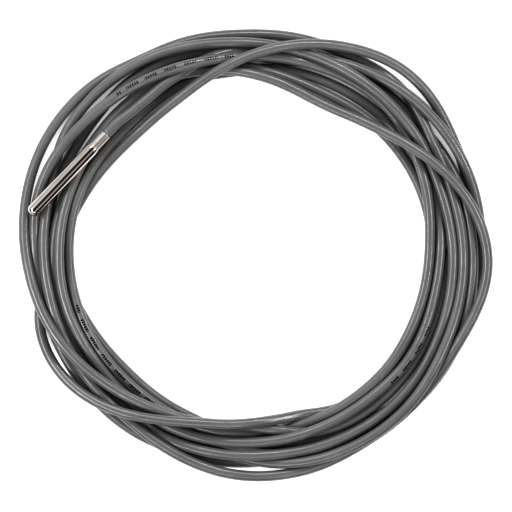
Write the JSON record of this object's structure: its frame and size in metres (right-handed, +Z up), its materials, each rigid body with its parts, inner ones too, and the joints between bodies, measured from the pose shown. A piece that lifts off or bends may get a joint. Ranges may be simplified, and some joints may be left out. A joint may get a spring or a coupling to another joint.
{
  "type": "soil sensor probe",
  "caption": "Closed steel sensor sleeve, crimped and potted onto a round grey cable that lies wound in a loose open coil.",
  "frame": {"origin": "centre of the cable's coil, on the surface that the coil lies on", "axes": "+Z up, square to that surface; +X and +Y across the coil, the sleeve lying at -X +Y with its mouth towards +X +Y"},
  "size_m": [0.214, 0.214, 0.017],
  "materials": {
    "steel_sleeve": "polished stainless steel with fine lengthwise marks",
    "cable_jacket": "smooth glossy grey cable jacket",
    "chip_case": "moulded black epoxy",
    "tinned_metal": "bright tin",
    "shrink_tube": "shrunk black tube",
    "copper": "bare copper strands",
    "core_red": "red core insulation",
    "core_black": "black core insulation",
    "core_yellow": "yellow core insulation",
    "resin": "dark potting resin"
  },
  "bodies": {
    "root": {"probe_sleeve": "steel_sleeve", "sensor_chip": "chip_case", "chip_leg_1": "tinned_metal", "chip_leg_2": "tinned_metal", "chip_leg_3": "tinned_metal", "solder_joint_1": "tinned_metal", "solder_joint_2": "tinned_metal", "solder_joint_3": "tinned_metal", "splice_shrink_1": "shrink_tube", "splice_shrink_2": "shrink_tube", "splice_shrink_3": "shrink_tube", "core_strand_1": "copper", "core_strand_2": "copper", "core_strand_3": "copper", "core_insulation_1": "core_red", "core_insulation_2": "core_black", "core_insulation_3": "core_yellow", "jacket_end": "cable_jacket", "potting_fill": "resin", "cable_lead": "cable_jacket", "cable_coil": "cable_jacket", "cable_tail": "cable_jacket", "tail_core_1": "core_red", "tail_core_2": "core_black", "tail_core_3": "core_yellow", "tail_strand_1": "tinned_metal", "tail_strand_2": "tinned_metal", "tail_strand_3": "tinned_metal"}
  },
  "joints": []
}
